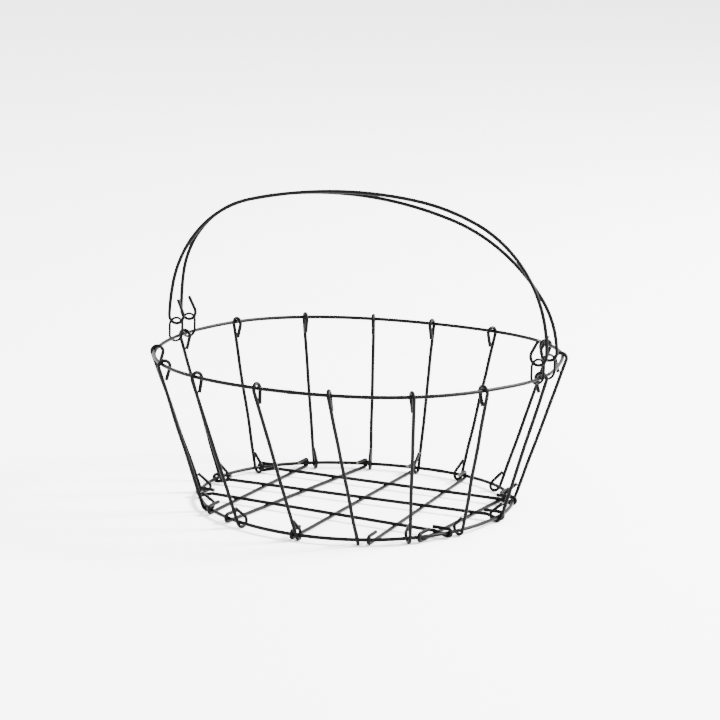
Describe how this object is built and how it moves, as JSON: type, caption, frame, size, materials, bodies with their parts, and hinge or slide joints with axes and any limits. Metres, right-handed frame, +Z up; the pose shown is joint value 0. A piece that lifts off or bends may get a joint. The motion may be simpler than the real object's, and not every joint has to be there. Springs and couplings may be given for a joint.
{
  "type": "wire basket",
  "caption": "Round tapered wire basket with an open crossed-wire grid base, hooked side stakes and two folding wire bails held in small oval links.",
  "frame": {"origin": "on the surface that the basket stands on, at the centre under the base ring", "axes": "+Z up; +X along the line from one end of the bails to the other; +Y from the front bail to the back bail"},
  "size_m": [0.2514, 0.2465, 0.1923],
  "materials": {
    "coated_wire": "satin black coating on steel wire"
  },
  "bodies": {
    "basket": {"rim_ring": "coated_wire", "base_ring": "coated_wire", "stake_01": "coated_wire", "stake_02": "coated_wire", "stake_03": "coated_wire", "stake_04": "coated_wire", "stake_05": "coated_wire", "stake_06": "coated_wire", "stake_07": "coated_wire", "stake_08": "coated_wire", "stake_09": "coated_wire", "stake_10": "coated_wire", "stake_11": "coated_wire", "stake_12": "coated_wire", "stake_13": "coated_wire", "stake_14": "coated_wire", "stake_15": "coated_wire", "stake_16": "coated_wire", "long_wire_1": "coated_wire", "long_wire_2": "coated_wire", "long_wire_3": "coated_wire", "cross_wire_1": "coated_wire", "cross_wire_2": "coated_wire", "cross_wire_3": "coated_wire", "cross_wire_4": "coated_wire", "cross_wire_5": "coated_wire"},
    "bail_front": {"bail_front": "coated_wire"},
    "bail_back": {"bail_back": "coated_wire"},
    "link_front_left": {"link_front_left": "coated_wire"},
    "link_front_right": {"link_front_right": "coated_wire"},
    "link_back_left": {"link_back_left": "coated_wire"},
    "link_back_right": {"link_back_right": "coated_wire"}
  },
  "joints": [
    {"name": "bail_front_fold", "type": "hinge", "parent": "basket", "child": "bail_front", "pos_m": [0, -0.0096, 0.10106], "axis": [1, 0, 0], "range_deg": [-0.5, 96]},
    {"name": "bail_back_fold", "type": "hinge", "parent": "basket", "child": "bail_back", "pos_m": [0, 0.0068, 0.10106], "axis": [-1, 0, 0], "range_deg": [-0.5, 96]},
    {"name": "link_front_right_rock", "type": "hinge", "parent": "basket", "child": "link_front_right", "pos_m": [0.11961, -0.0096, 0.09266], "axis": [0.08, 0.9968, 0], "range_deg": [0, 3]},
    {"name": "link_back_right_rock", "type": "hinge", "parent": "basket", "child": "link_back_right", "pos_m": [0.11981, 0.0068, 0.09266], "axis": [0.0567, -0.9984, 0], "range_deg": [0, 3]},
    {"name": "link_back_left_rock", "type": "hinge", "parent": "basket", "child": "link_back_left", "pos_m": [-0.11981, 0.0068, 0.09266], "axis": [-0.0567, -0.9984, 0], "range_deg": [0, 3]},
    {"name": "link_front_left_rock", "type": "hinge", "parent": "basket", "child": "link_front_left", "pos_m": [-0.11961, -0.0096, 0.09266], "axis": [-0.08, 0.9968, 0], "range_deg": [0, 3]}
  ]
}
